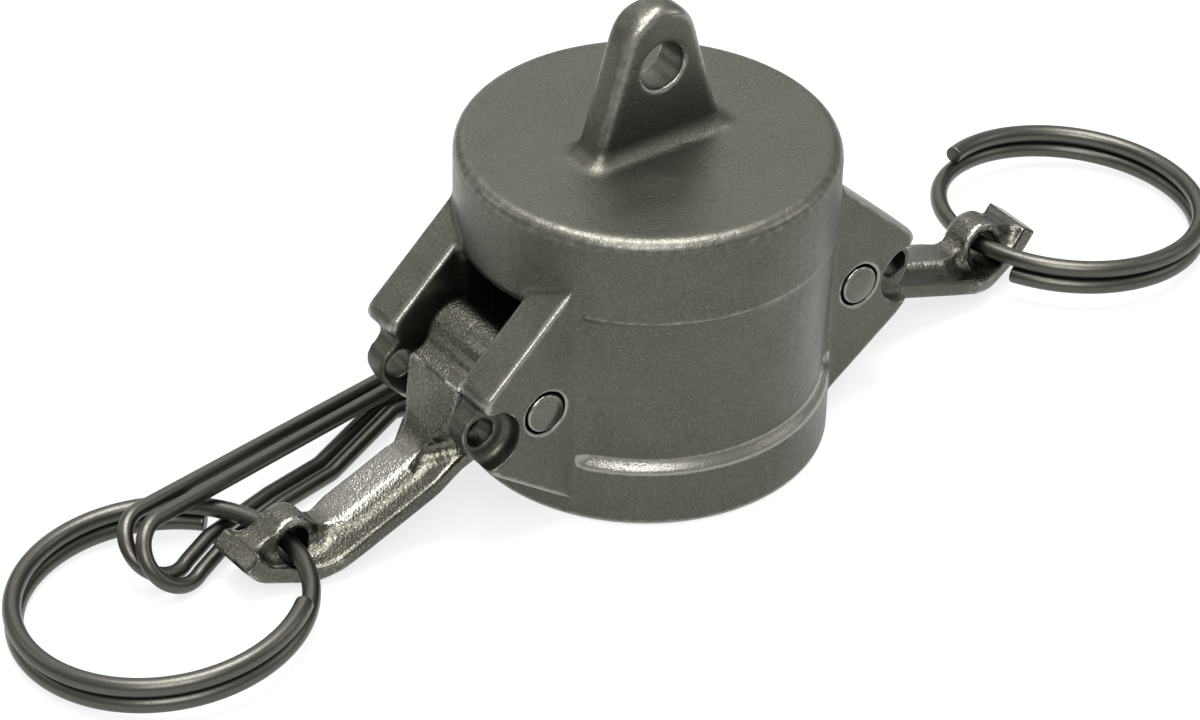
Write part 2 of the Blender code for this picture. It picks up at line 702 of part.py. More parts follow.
def arm_place(side):
    """Middle of an arm's hub on its pin."""
    return Vector((side.sign * PIVOT_X, side.arm_shift, PIVOT_Z))


def arm_turn(side):
    """Turn of an open arm: outwards, sloping down, and askew by its play on the pin."""
    heading = Matrix.Rotation((pi if side.sign < 0 else 0.0) + side.arm_skew, 3, "Z")
    return heading @ Matrix.Rotation(side.arm_slope, 3, "Y")


def make_arms(material):
    """Cam arms, a left-hand and a right-hand casting, both with their wide side in front."""
    for side in SIDES:
        arm = add_object(f"cam_arm_{side.name}", arm_mesh(side))
        arm.data.materials.append(material)
        arm.location = arm_place(side)
        arm.rotation_euler = arm_turn(side).to_euler()


def ring_hinge(side):
    """Where a ring's wire lies in its hole, its seat's gap over the bottom."""
    drop = RING_HOLE_RADIUS - RING_WIRE_RADIUS - side.ring_seat
    hole = arm_turn(side) @ Vector((ARM_LENGTH, 0.0, RING_HOLE_N))
    return arm_place(side) + hole + Vector((0.0, side.ring_shift, -drop))


def ring_point(angle):
    """Point of a ring in its own frame: a flat helix through the hole at the origin."""
    return Vector((RING_RADIUS * (1 - cos(angle)), -RING_RADIUS * sin(angle), RING_PITCH * angle / (2 * pi)))


def ring_turn(side):
    """Turn of a ring's frame: outwards along X, tilted towards the table."""
    heading = Matrix.Rotation(pi if side.sign < 0 else 0.0, 3, "Z")
    roll = Matrix.Rotation(side.sign * side.ring_roll, 3, "X")
    return heading @ Matrix.Rotation(side.ring_tilt, 3, "Y") @ roll


def make_rings(material):
    """Split rings through the arms' holes, lying outwards."""
    count = round(RING_SWEEP / RING_STEP)
    for side in SIDES:
        points = [ring_point(side.ring_start + RING_SWEEP * i / count) for i in range(count + 1)]
        ring = wire(f"pull_ring_{side.name}", points, RING_WIRE_RADIUS, material)
        ring.location = ring_hinge(side)
        ring.rotation_euler = ring_turn(side).to_euler()


def clip_shape():
    """A clip's wire in its plane: straight leg, round bow, and waved leg back towards the tip."""
    bow = arc((0.0, CLIP_BOW_RADIUS), CLIP_BOW_RADIUS, -pi / 2, -3 * pi / 2 - CLIP_BOW_OVERLAP, 20)
    leg = [Vector((CLIP_LEG, 0.0))]
    waves = rounded_path([(*bow[-1], 0.0)] + list(CLIP_WAVES))
    return evenly_spaced(leg + [Vector(point) for point in bow] + waves[1:], CLIP_STEP)


def clip_axes(clip):
    """Directions along a clip's leg and across it."""
    along = Vector((cos(clip.heading) * cos(clip.climb), sin(clip.heading) * cos(clip.climb), sin(clip.climb)))
    aside = along.cross(Vector((0.0, 0.0, 1.0))).normalized()
    across = aside * cos(clip.turn) - aside.cross(along) * sin(clip.turn)
    return along, across


def clip_hinge(clip):
    """Where a clip is threaded on its ring, and the normal of its plane, about which it swings."""
    side = SIDES[0]
    along, across = clip_axes(clip)
    return ring_hinge(side) + ring_turn(side) @ ring_point(clip.thread_angle), along.cross(across)


def make_clips(material):
    """Safety clips that lock the closed arms, kept on the left ring meanwhile."""
    shape = clip_shape()
    for clip in CLIPS:
        along, across = clip_axes(clip)
        origin = clip_hinge(clip)[0]
        foot = ring_hinge(SIDES[0]) + Vector(clip.foot) - origin
        points = [foot + along * point.x + across * point.y for point in shape]
        obj = wire(f"safety_clip_{clip.name}", points, CLIP_WIRE_RADIUS, material)
        obj.location = origin


def main():
    """Build every piece of the cap."""
    clear_scene()
    add_collection(PARTS)
    add_collection(CUTTERS)
    cast_steel = add_material("cast_stainless", (0.42, 0.40, 0.37), 0.42, 1.0)
    pin_steel = add_material("pin_stainless", (0.50, 0.49, 0.46), 0.30, 1.0)
    wire_steel = add_material("wire_stainless", (0.48, 0.46, 0.43), 0.26, 1.0)
    rubber = add_material("black_rubber", (0.02, 0.02, 0.022), 0.65, 0.0)
    make_cap_body(cast_steel)
    make_gasket(rubber)
    make_pins(pin_steel)
    make_arms(cast_steel)
    make_rings(wire_steel)
    make_clips(wire_steel)


main()
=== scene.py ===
"""Looks of the camlock dust cap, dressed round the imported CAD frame.

Metres, in the frame's own axes: Z is the cap's axis with the mouth at 0, X runs from the left
arm to the right arm, and Y runs along the pivot pins.
"""
from __future__ import annotations

import json
import logging
from dataclasses import dataclass
from enum import Enum
from typing import Callable

import bmesh
import bpy
import numpy as np
from mathutils import Matrix, Vector


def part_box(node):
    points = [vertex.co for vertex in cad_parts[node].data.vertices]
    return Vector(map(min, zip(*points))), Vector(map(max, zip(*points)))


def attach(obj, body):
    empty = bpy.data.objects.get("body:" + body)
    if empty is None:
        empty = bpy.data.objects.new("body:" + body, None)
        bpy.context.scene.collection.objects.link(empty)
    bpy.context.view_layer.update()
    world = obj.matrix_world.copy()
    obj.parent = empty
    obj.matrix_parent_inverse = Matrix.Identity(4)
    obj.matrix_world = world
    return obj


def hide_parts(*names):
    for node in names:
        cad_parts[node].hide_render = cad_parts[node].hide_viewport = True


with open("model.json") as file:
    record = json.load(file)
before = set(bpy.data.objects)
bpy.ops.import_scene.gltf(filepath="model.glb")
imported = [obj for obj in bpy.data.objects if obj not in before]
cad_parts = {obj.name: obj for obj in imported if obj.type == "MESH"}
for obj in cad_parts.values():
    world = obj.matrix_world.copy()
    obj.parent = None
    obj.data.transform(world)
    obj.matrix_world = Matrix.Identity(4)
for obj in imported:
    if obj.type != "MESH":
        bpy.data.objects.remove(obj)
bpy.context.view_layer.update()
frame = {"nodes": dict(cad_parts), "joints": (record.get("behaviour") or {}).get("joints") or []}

LOG = logging.getLogger("dust_cap")
MM = 0.001
BEND_LIMIT = 2.0


class Lay(Enum):
    """Which way the fine lines of a metal finish run."""

    NONE = "none"
    LEVEL = "level"
    ALONG = "along"


@dataclass(frozen=True)
class MetalFinish:
    """One steel finish: its colours, its gloss and the size of its grain.

    Sizes and heights are in metres, gloss is a roughness from 0 to 1, and the glint share is the share of the
    bright colour in the painted glints, specks of painted highlight.
    """

    name: str
    slot: str
    colour: tuple[float, float, float]
    # dark tints grain, stains and pits, and paints shade in inner corners; bright paints glints and the
    # highlight on outer edges, which also stand for worn edges.
    dark: tuple[float, float, float]
    bright: tuple[float, float, float]
    roughness: float
    roughness_spread: float
    grain: float
    grain_height: float
    pit: float
    lay: Lay = Lay.NONE
    lay_height: float = 0.0
    painted_glint: float = 0.0


CAST = MetalFinish(
    name="cast_skin_steel", slot="cast_stainless",
    colour=(0.114, 0.112, 0.093), dark=(0.063, 0.061, 0.050), bright=(0.50, 0.49, 0.45),
    roughness=0.37, roughness_spread=0.08, grain=0.00034, grain_height=0.000038, pit=0.0016,
    lay=Lay.LEVEL, lay_height=0.000010, painted_glint=0.12)
ARM = MetalFinish(
    name="cast_arm_steel", slot="arm_stainless",
    colour=(0.126, 0.123, 0.101), dark=(0.060, 0.058, 0.047), bright=(0.54, 0.53, 0.49),
    roughness=0.21, roughness_spread=0.08, grain=0.00044, grain_height=0.000068, pit=0.0020,
    painted_glint=0.24)
PIN = MetalFinish(
    name="turned_pin_steel", slot="pin_stainless",
    colour=(0.137, 0.135, 0.115), dark=(0.080, 0.078, 0.066), bright=(0.45, 0.44, 0.41),
    roughness=0.22, roughness_spread=0.06, grain=0.00022, grain_height=0.000005, pit=0.0012)
WIRE = MetalFinish(
    name="drawn_wire_steel", slot="wire_stainless",
    colour=(0.104, 0.101, 0.088), dark=(0.068, 0.066, 0.057), bright=(0.30, 0.29, 0.27),
    roughness=0.32, roughness_spread=0.06, grain=0.00030, grain_height=0.000003, pit=0.0030,
    lay=Lay.ALONG, lay_height=0.000003)


@dataclass(frozen=True)
class RubberFinish:
    """The gasket's rubber: its colours, its gloss and its grain."""

    name: str = "gasket_rubber"
    slot: str = "black_rubber"
    colour: tuple[float, float, float] = (0.016, 0.016, 0.017)
    worn: tuple[float, float, float] = (0.040, 0.039, 0.037)
    dust: tuple[float, float, float] = (0.075, 0.070, 0.062)
    glossy: float = 0.52
    matt: float = 0.74
    grain: float = 0.0003
    grain_height: float = 0.000012
    pit: float = 0.003


RUBBER = RubberFinish()


@dataclass(frozen=True)
class Shares:
    """How strongly each effect shows in the steels, and the fine lines' spacing in metres."""

    grain: float = 0.55
    stain: float = 0.30
    pits: float = 0.15
    # corner is the share of painted shade in inner corners; edge is the share of the bright colour on outer
    # edges, worn edges with painted highlight.
    corner: float = 0.55
    edge: float = 0.40
    edge_gloss: float = 0.10
    grain_roughness: float = 0.06
    line_spacing: float = 0.00022


class NodeBench:
    """Small helper that places nodes in one node tree and joins them."""

    def __init__(self, tree: bpy.types.NodeTree) -> None:
        """Keep the node tree of a material, a world or a group, that the nodes go into."""
        self.tree = tree
        self.count = 0

    def add(self, kind: str, settings: dict | None = None, **sockets: object) -> bpy.types.Node:
        """Place one node.

        Args:
            kind: the node's Blender type.
            settings: node properties by name.
            sockets: input values, or output sockets to join to them, by input name with
                underscores for spaces.

        Returns:
            The new node.
        """
        node = self.tree.nodes.new(kind)
        node.location = (220 * (self.count % 12), -260 * (self.count // 12))
        self.count += 1
        for key, value in (settings or {}).items():
            setattr(node, key, value)
        for key, value in sockets.items():
            self.put(node.inputs[key.replace("_", " ")], value)
        return node

    def put(self, socket: bpy.types.NodeSocket, value: object) -> None:
        """Set an input to a value, or join an output to it.

        Args:
            socket: the input.
            value: a number, a tuple or an output socket.
        """
        if isinstance(value, bpy.types.NodeSocket):
            self.tree.links.new(value, socket)
        else:
            socket.default_value = value

    def maths(self, operation: str, first: object, second: object = 0.0,
              clamp: bool = False) -> bpy.types.NodeSocket:
        """Place a Math node.

        Args:
            operation: its operation.
            first: its first input.
            second: its second input.
            clamp: whether the result is held between 0 and 1.

        Returns:
            Its output.
        """
        node = self.add("ShaderNodeMath", {"operation": operation, "use_clamp": clamp})
        self.put(node.inputs[0], first)
        self.put(node.inputs[1], second)
        return node.outputs[0]

    def noise(self, vector: object, size: float, detail: float = 3.0) -> bpy.types.NodeSocket:
        """Place a Noise Texture with lumps of a size in metres, and give its value output."""
        node = self.add("ShaderNodeTexNoise", Vector=vector, Scale=1.0 / size, Detail=detail, Roughness=0.5)
        return node.outputs[0]

    def spread(self, value: object, low: float, high: float, to_low: float = 0.0,
               to_high: float = 1.0) -> bpy.types.NodeSocket:
        """Place a Map Range node that maps low and high to two new values.

        Args:
            value: what is mapped.
            low: the value that gives to_low.
            high: the value that gives to_high.
            to_low: the result at low.
            to_high: the result at high.

        Returns:
            Its output.
        """
        node = self.add("ShaderNodeMapRange", {"interpolation_type": "SMOOTHSTEP"})
        for index, number in enumerate((value, low, high, to_low, to_high)):
            self.put(node.inputs[index], number)
        return node.outputs[0]

    def blend(self, factor: object, first: object, second: object) -> bpy.types.NodeSocket:
        """Place a colour Mix node.

        Args:
            factor: the share of the second colour.
            first: the first colour.
            second: the second colour.

        Returns:
            Its colour output.
        """
        node = self.add("ShaderNodeMix", {"data_type": "RGBA"})
        self.put(node.inputs[0], factor)
        self.put(node.inputs[6], first)
        self.put(node.inputs[7], second)
        return node.outputs[2]


def new_material(name: str) -> tuple[bpy.types.Material, NodeBench]:
    """Make an empty material.

    Args:
        name: its name.

    Returns:
        The material, and a bench on its node tree.
    """
    material = bpy.data.materials.new(name)
    material.use_nodes = True
    material.node_tree.nodes.clear()
    return material, NodeBench(material.node_tree)


def make_group(name: str, inputs: dict[str, float], outputs: tuple[str, ...],
               wire: Callable[[NodeBench, bpy.types.Node, bpy.types.Node], None]) -> bpy.types.NodeTree:
    """Make a shader node group with named sockets.

    Args:
        name: the group's name.
        inputs: its number inputs with their defaults; "Vector" is a vector input.
        outputs: its number outputs.
        wire: a function that fills it, given the bench and its input and output nodes.

    Returns:
        The group.
    """
    tree = bpy.data.node_groups.new(name, "ShaderNodeTree")
    tree.interface.new_socket("Vector", in_out="INPUT", socket_type="NodeSocketVector")
    for key, value in inputs.items():
        socket = tree.interface.new_socket(key, in_out="INPUT", socket_type="NodeSocketFloat")
        socket.default_value = value
    for key in outputs:
        tree.interface.new_socket(key, in_out="OUTPUT", socket_type="NodeSocketFloat")
    bench = NodeBench(tree)
    start = bench.add("NodeGroupInput")
    end = bench.add("NodeGroupOutput")
    wire(bench, start, end)
    return tree


def wire_grain_and_painted_glint(bench: NodeBench, start: bpy.types.Node, end: bpy.types.Node) -> None:
    """Fill the grain group: sand grain, shallow pits and calm patches of a cast or tumbled skin, and a mask
    of painted glints, specks of painted highlight kept to the calm patches.
    """
    vector = start.outputs["Vector"]
    grain = bench.add("ShaderNodeTexNoise", Vector=vector, Scale=start.outputs["Grain Scale"],
                      Detail=4.0, Roughness=0.62)
    fine = bench.add("ShaderNodeTexVoronoi", {"feature": "SMOOTH_F1"}, Vector=vector,
                     Scale=bench.maths("MULTIPLY", start.outputs["Grain Scale"], 1.7), Smoothness=0.6)
    pit = bench.add("ShaderNodeTexNoise", Vector=vector, Scale=start.outputs["Pit Scale"],
                    Detail=2.0, Roughness=0.5)
    dip = bench.spread(pit.outputs[0], 0.24, 0.38, -0.6, 0.0)
    patch = bench.noise(vector, 0.0075, 2.0)
    calm = bench.spread(patch, 0.36, 0.62, 0.45, 1.0)
    lumps = bench.maths("ADD", grain.outputs[0], bench.maths("MULTIPLY", fine.outputs["Distance"], 0.6))
    height = bench.maths("ADD", bench.maths("MULTIPLY", lumps, calm), dip)
    bench.put(end.inputs["Height"], height)
    bench.put(end.inputs["Grain"], bench.spread(grain.outputs[0], 0.34, 0.66))
    bench.put(end.inputs["Pits"], bench.spread(pit.outputs[0], 0.46, 0.34))
    bench.put(end.inputs["Patch"], patch)
    # Painted glints: bright specks of painted highlight, kept to the calm patches.
    glint = bench.add("ShaderNodeTexNoise", Vector=vector, Detail=1.0, Roughness=0.5,
                      Scale=bench.maths("MULTIPLY", start.outputs["Grain Scale"], 1.6))
    bench.put(end.inputs["Painted Glint"], bench.maths("MULTIPLY", bench.spread(glint.outputs[0], 0.58, 0.70), calm))


def wire_fine_lines(bench: NodeBench, start: bpy.types.Node, end: bpy.types.Node) -> None:
    """Fill the line group: long thin streaks across the vector's last axis, broken up in patches."""
    vector = start.outputs["Vector"]
    stretch = bench.add("ShaderNodeVectorMath", {"operation": "MULTIPLY"})
    bench.put(stretch.inputs[0], vector)
    bench.put(stretch.inputs[1], (0.05, 0.05, 1.0))
    lines = bench.add("ShaderNodeTexNoise", Vector=stretch.outputs[0], Scale=start.outputs["Line Scale"],
                      Detail=3.0, Roughness=0.7)
    gate = bench.spread(bench.noise(vector, 0.011, 2.0), 0.42, 0.62, 0.15, 1.0)
    bench.put(end.inputs["Lines"], bench.maths("MULTIPLY", lines.outputs[0], gate))


def wire_edge_wear_highlight_and_corner_shade(bench: NodeBench, start: bpy.types.Node, end: bpy.types.Node) -> None:
    """Fill the edge group: a mask of outer edges, broken up by noise, for worn edges with painted highlight,
    and one of inner corners for painted shade.
    """
    vector = start.outputs["Vector"]
    # Outer edges get worn edges with painted highlight; inner corners get painted shade.
    bend = bench.maths("ADD", start.outputs["Bend"], bench.maths(
        "MULTIPLY", bench.maths("SUBTRACT", bench.noise(vector, 0.0011, 3.0), 0.5), start.outputs["Break"]))
    bench.put(end.inputs["Edge"], bench.spread(bend, start.outputs["Start"], start.outputs["Full"]))
    bench.put(end.inputs["Painted Corner Shade"], bench.spread(start.outputs["Bend"], -0.15, -0.65))


class Finishes:
    """Makes the materials, with the effects that they share built once."""

    def __init__(self) -> None:
        """Build the shared node groups."""
        # The grain group also gives the mask of painted glints, specks of painted highlight.
        self.grain = make_group("cast_grain_and_painted_glint", {"Grain Scale": 2500.0, "Pit Scale": 450.0},
                                ("Height", "Grain", "Pits", "Patch", "Painted Glint"), wire_grain_and_painted_glint)
        self.lines = make_group("fine_lines", {"Line Scale": 4000.0}, ("Lines",), wire_fine_lines)
        # The edge group paints highlight on outer edges, as worn edges, and shade in inner corners.
        self.edges_and_corners = make_group("edge_wear_highlight_and_corner_shade", {"Bend": 0.0, "Break": 0.3, "Start": 0.15, "Full": 0.6},
                               ("Edge", "Painted Corner Shade"), wire_edge_wear_highlight_and_corner_shade)

    def metal(self, finish: MetalFinish, shares: Shares = Shares()) -> bpy.types.Material:
        """Make a steel material: base colour with grain, stains, pits, painted glints, worn edges with
        painted highlight and painted shade in inner corners, and matching gloss.

        Args:
            finish: the finish that it shows.
            shares: how strongly each effect shows.

        Returns:
            The material.
        """
        material, bench = new_material(finish.name)
        place = bench.add("ShaderNodeTexCoord").outputs["Object"]
        bend = bench.add("ShaderNodeAttribute", {"attribute_name": "bend"}).outputs["Fac"]
        grain = bench.add("ShaderNodeGroup", {"node_tree": self.grain}, Vector=place,
                          Grain_Scale=1.0 / finish.grain, Pit_Scale=1.0 / finish.pit)
        edges_and_corners = bench.add("ShaderNodeGroup", {"node_tree": self.edges_and_corners}, Vector=place, Bend=bend)
        tone = (*finish.colour, 1.0)
        # Colour: grain, stains and pits are the steel's own; the glints are painted highlight, the outer
        # edges worn edges with painted highlight, and the inner corners painted shade.
        for mask, share, colour in (
                (grain.outputs["Grain"], shares.grain, finish.dark),
                (bench.spread(grain.outputs["Patch"], 0.35, 0.7), shares.stain, finish.dark),
                (grain.outputs["Pits"], shares.pits, finish.dark),
                (edges_and_corners.outputs["Painted Corner Shade"], shares.corner, finish.dark),
                (grain.outputs["Painted Glint"], finish.painted_glint, finish.bright),
                (edges_and_corners.outputs["Edge"], shares.edge, finish.bright)):
            tone = bench.blend(bench.maths("MULTIPLY", mask, share), tone, (*colour, 1.0))
        uneven = bench.maths("SUBTRACT", grain.outputs["Patch"], 0.5)
        patchy = bench.maths("MULTIPLY", uneven, 2 * finish.roughness_spread)
        rough = bench.maths("ADD", finish.roughness, patchy)
        shine = bench.maths("MULTIPLY", edges_and_corners.outputs["Edge"], shares.edge_gloss)
        grainy = bench.maths("MULTIPLY", grain.outputs["Grain"], shares.grain_roughness)
        rough = bench.maths("ADD", bench.maths("SUBTRACT", rough, shine), grainy, clamp=True)
        height = bench.maths("MULTIPLY", grain.outputs["Height"], finish.grain_height)
        if finish.lay is not Lay.NONE:
            along = place
            if finish.lay is Lay.ALONG:
                along = bench.add("ShaderNodeUVMap", {"uv_map": "wrap"}).outputs[0]
            lines = bench.add("ShaderNodeGroup", {"node_tree": self.lines}, Vector=along,
                              Line_Scale=1.0 / shares.line_spacing)
            line_height = bench.maths("MULTIPLY", lines.outputs["Lines"], finish.lay_height)
            height = bench.maths("ADD", height, line_height)
        self.finish_surface(bench, tone, rough, height, 1.0)
        return material

    def rubber(self, finish: RubberFinish) -> bpy.types.Material:
        """Make the black rubber of the gasket, dusty and faintly grained.

        Args:
            finish: the finish that it shows.

        Returns:
            The material.
        """
        material, bench = new_material(finish.name)
        place = bench.add("ShaderNodeTexCoord").outputs["Object"]
        grain = bench.add("ShaderNodeGroup", {"node_tree": self.grain}, Vector=place,
                          Grain_Scale=1.0 / finish.grain, Pit_Scale=1.0 / finish.pit)
        tone = bench.blend(bench.maths("MULTIPLY", grain.outputs["Grain"], 0.4), (*finish.colour, 1.0),
                           (*finish.worn, 1.0))
        dust = bench.maths("MULTIPLY", bench.spread(grain.outputs["Patch"], 0.45, 0.75), 0.35)
        tone = bench.blend(dust, tone, (*finish.dust, 1.0))
        rough = bench.spread(grain.outputs["Patch"], 0.2, 0.8, finish.glossy, finish.matt)
        height = bench.maths("MULTIPLY", grain.outputs["Height"], finish.grain_height)
        self.finish_surface(bench, tone, rough, height, 0.0)
        return material

    def finish_surface(self, bench: NodeBench, tone: object, rough: object, height: object,
                       metallic: float) -> None:
        """Join colour, gloss and height to a material's output.

        Args:
            bench: the material's bench.
            tone: the colour.
            rough: the roughness.
            height: the height of the fine relief in metres.
            metallic: 1 for a metal and 0 for anything else.
        """
        bump = bench.add("ShaderNodeBump", Strength=1.0, Distance=1.0, Height=height)
        shader = bench.add("ShaderNodeBsdfPrincipled", Base_Color=tone, Metallic=metallic, Roughness=rough,
                           Normal=bump.outputs[0])
        bench.add("ShaderNodeOutputMaterial", Surface=shader.outputs[0])


def grid_faces(rows: int, columns: int) -> np.ndarray:
    """Number the quads of a grid of points, row by row.

    Quad (i, j) joins point (i, j) to its neighbours at j + 1 and i + 1, and the last column joins
    the first.

    Args:
        rows: the number of rows.
        columns: the number of columns.

    Returns:
        An array of four point numbers for each quad.
    """
    index = np.arange(rows * columns).reshape(rows, columns)
    right = np.roll(index, -1, axis=1)
    quads = np.stack([index[:-1], right[:-1], right[1:], index[1:]], axis=-1)
    return quads.reshape(-1, 4)


def ramp(value: np.ndarray, nil: float, full: float) -> np.ndarray:
    """Give 0 at nil and before it, 1 at full and past it, and a straight rise between them."""
    return np.clip((value - nil) / (full - nil), 0.0, 1.0)


def read_rows(items: bpy.types.bpy_prop_collection, key: str, width: int = 1,
              kind: type = np.float32) -> np.ndarray:
    """Read one property of all of a mesh's points, edges or corners.

    Args:
        items: the points, edges or corners.
        key: the property.
        width: how many numbers it holds.
        kind: the type of its numbers.

    Returns:
        One row for each item, or one number for each where width is 1.
    """
    values = np.zeros(len(items) * width, dtype=kind)
    items.foreach_get(key, values)
    return values.reshape(-1, width) if width > 1 else values


def add_surface(name: str, points: np.ndarray, faces: list,
                wrap_map: np.ndarray | None = None) -> bpy.types.Object:
    """Put points and faces into a new mesh object at the origin, shaded smooth.

    Args:
        name: the object's name.
        points: an array of points.
        faces: lists of point numbers.
        wrap_map: a map coordinate for each point, kept as the UV map "wrap".

    Returns:
        The object.
    """
    mesh = bpy.data.meshes.new(name)
    mesh.from_pydata(points.tolist(), [], faces)
    if wrap_map is not None:
        corner = read_rows(mesh.loops, "vertex_index", kind=np.int32)
        layer = mesh.uv_layers.new(name="wrap")
        layer.data.foreach_set("uv", wrap_map[corner].astype(np.float32).ravel())
    mesh.shade_smooth()
    obj = bpy.data.objects.new(name, mesh)
    bpy.context.scene.collection.objects.link(obj)
    return obj


def wire_surface(name: str, path: np.ndarray, flat: np.ndarray, radius: float, end_round: float,
                 around: int = 24) -> bpy.types.Object:
    """Make a round wire along a path, with its cut ends rounded off.

    A circle is carried along the path: point (i, a) is centre_i + radius_i (cos a side_i + sin a
    up_i). Over the last end_round of each end its radius falls as a quarter circle, and a point
    closes the flat that is left.

    Args:
        name: the piece's name.
        path: the centre line's points.
        flat: the direction that is nearly square to the whole path.
        radius: the wire's radius.
        end_round: the rounding of its cut ends.
        around: the number of points round the wire.

    Returns:
        The piece.
    """
    step = np.linalg.norm(np.diff(path, axis=0), axis=1)
    run = np.concatenate([[0.0], np.cumsum(step)])
    turn = np.linspace(0.0, np.pi / 2, 6)
    lead = end_round * (1 - np.cos(turn))
    clear = end_round * 1.2
    inner = run[(run > clear) & (run < run[-1] - clear)]
    stations = np.concatenate([lead, inner, run[-1] - lead[::-1]])
    falling = end_round * (1 - np.sin(turn))
    shrink = np.concatenate([falling, np.zeros(len(inner)), falling[::-1]])
    centre = np.stack([np.interp(stations, run, path[:, k]) for k in range(3)], axis=1)
    tangent = np.gradient(path, run, axis=0)
    tangent = np.stack([np.interp(stations, run, tangent[:, k]) for k in range(3)], axis=1)
    tangent /= np.linalg.norm(tangent, axis=1, keepdims=True)
    side = np.cross(flat[None, :], tangent)
    side /= np.linalg.norm(side, axis=1, keepdims=True)
    up = np.cross(tangent, side)
    angle = np.linspace(0.0, 2 * np.pi, around, endpoint=False)[None, :, None]
    spoke = np.cos(angle) * side[:, None, :] + np.sin(angle) * up[:, None, :]
    grid = centre[:, None, :] + (radius - shrink)[:, None, None] * spoke
    rows = len(stations)
    points = np.concatenate([grid.reshape(-1, 3), centre[:1], centre[-1:]])
    faces = grid_faces(rows, around)[:, ::-1].tolist()
    rim = np.arange(around)
    faces += np.stack([rim, np.roll(rim, -1), np.full(around, rows * around)], axis=1).tolist()
    last = (rows - 1) * around + rim
    faces += np.stack([np.roll(last, -1), last, np.full(around, rows * around + 1)], axis=1).tolist()
    girth = np.repeat(np.linspace(0.0, 2 * np.pi * radius, around, endpoint=False)[None, :], rows, axis=0)
    flow = np.repeat(stations[:, None], around, axis=1)
    wrap_map = np.concatenate([np.stack([flow.ravel(), girth.ravel()], axis=1), [[0.0, 0.0], [run[-1], 0.0]]])
    return add_surface(name, points, faces, wrap_map)


def turned_surface(name: str, profile: np.ndarray, axis: int, centre: tuple[float, float, float],
                   around: int) -> bpy.types.Object:
    """Turn a profile about an axis.

    Point (i, a) lies at the profile's height along the axis and at its radius in the direction
    of angle a across it. A profile that starts and ends on the axis closes in two points, and
    one that ends where it starts closes on itself.

    Args:
        name: the piece's name.
        profile: rows of (radius, height).
        axis: 1 for Y or 2 for Z.
        centre: where the profile's height 0 lies on the axis.
        around: the number of points in a circle.

    Returns:
        The piece.
    """
    angle = np.linspace(0.0, 2 * np.pi, around, endpoint=False)
    radius, height = profile[:, 0], profile[:, 1]
    first = radius[:, None] * np.cos(angle)[None, :]
    second = radius[:, None] * np.sin(angle)[None, :]
    level = np.repeat(height[:, None], around, axis=1)
    layers = (second, level, first) if axis == 1 else (first, second, level)
    points = np.stack(layers, axis=-1).reshape(-1, 3) + np.array(centre)
    obj = add_surface(name, points, grid_faces(len(profile), around).tolist())
    weld(obj, 1e-7)
    return obj


def weld(obj: bpy.types.Object, distance: float) -> None:
    """Merge the doubles of a mesh and turn its faces outwards.

    Args:
        obj: the mesh object.
        distance: how near two points are to be one.
    """
    bm = bmesh.new()
    bm.from_mesh(obj.data)
    bmesh.ops.remove_doubles(bm, verts=bm.verts, dist=distance)
    bmesh.ops.dissolve_degenerate(bm, edges=bm.edges, dist=distance)
    bmesh.ops.recalc_face_normals(bm, faces=bm.faces)
    bm.to_mesh(obj.data)
    bm.free()
    obj.data.shade_smooth()


def move_points(obj: bpy.types.Object, change: Callable[[np.ndarray], np.ndarray]) -> None:
    """Move a mesh's points by a function from their rows to the moved rows."""
    moved = change(read_rows(obj.data.vertices, "co", 3))
    obj.data.vertices.foreach_set("co", moved.astype(np.float32).ravel())
    obj.data.update()


def store_bend(obj: bpy.types.Object, reach: float) -> None:
    """Keep how sharply each point bends outwards, as the attribute "bend".

    For each edge, the bend is the turn of the normal along it divided by its length, positive on
    an outer edge. A point takes the mean of its edges, smoothed over its neighbours, times reach.

    Args:
        obj: the mesh object.
        reach: the radius at which a bend counts as 1.
    """
    mesh = obj.data
    count = len(mesh.vertices)
    place = read_rows(mesh.vertices, "co", 3)
    normal = read_rows(mesh.vertex_normals, "vector", 3)
    near, far = read_rows(mesh.edges, "vertices", 2, np.int32).T
    gap = place[far] - place[near]
    bend = np.sum((normal[far] - normal[near]) * gap, axis=1) / np.maximum(np.sum(gap * gap, axis=1), 1e-12)
    share = np.maximum(np.bincount(near, minlength=count) + np.bincount(far, minlength=count), 1)
    value = (np.bincount(near, bend, count) + np.bincount(far, bend, count)) / share
    for _ in range(3):
        mean = (np.bincount(near, value[far], count) + np.bincount(far, value[near], count)) / share
        value = 0.5 * value + 0.5 * mean
    attribute = mesh.attributes.new("bend", "FLOAT", "POINT")
    attribute.data.foreach_set("value", np.clip(value * reach, -BEND_LIMIT, BEND_LIMIT).astype(np.float32))


def add_bend(obj: bpy.types.Object, extra: Callable[[np.ndarray], np.ndarray]) -> None:
    """Add to the attribute "bend" by a piece's place, which paints highlight where it is raised and shade
    where it is lowered.

    Args:
        obj: the mesh object.
        extra: a function from the points' rows to the values to add.
    """
    values = obj.data.attributes["bend"].data
    value = read_rows(values, "value") + extra(read_rows(obj.data.vertices, "co", 3))
    values.foreach_set("value", np.clip(value, -BEND_LIMIT, BEND_LIMIT).astype(np.float32))


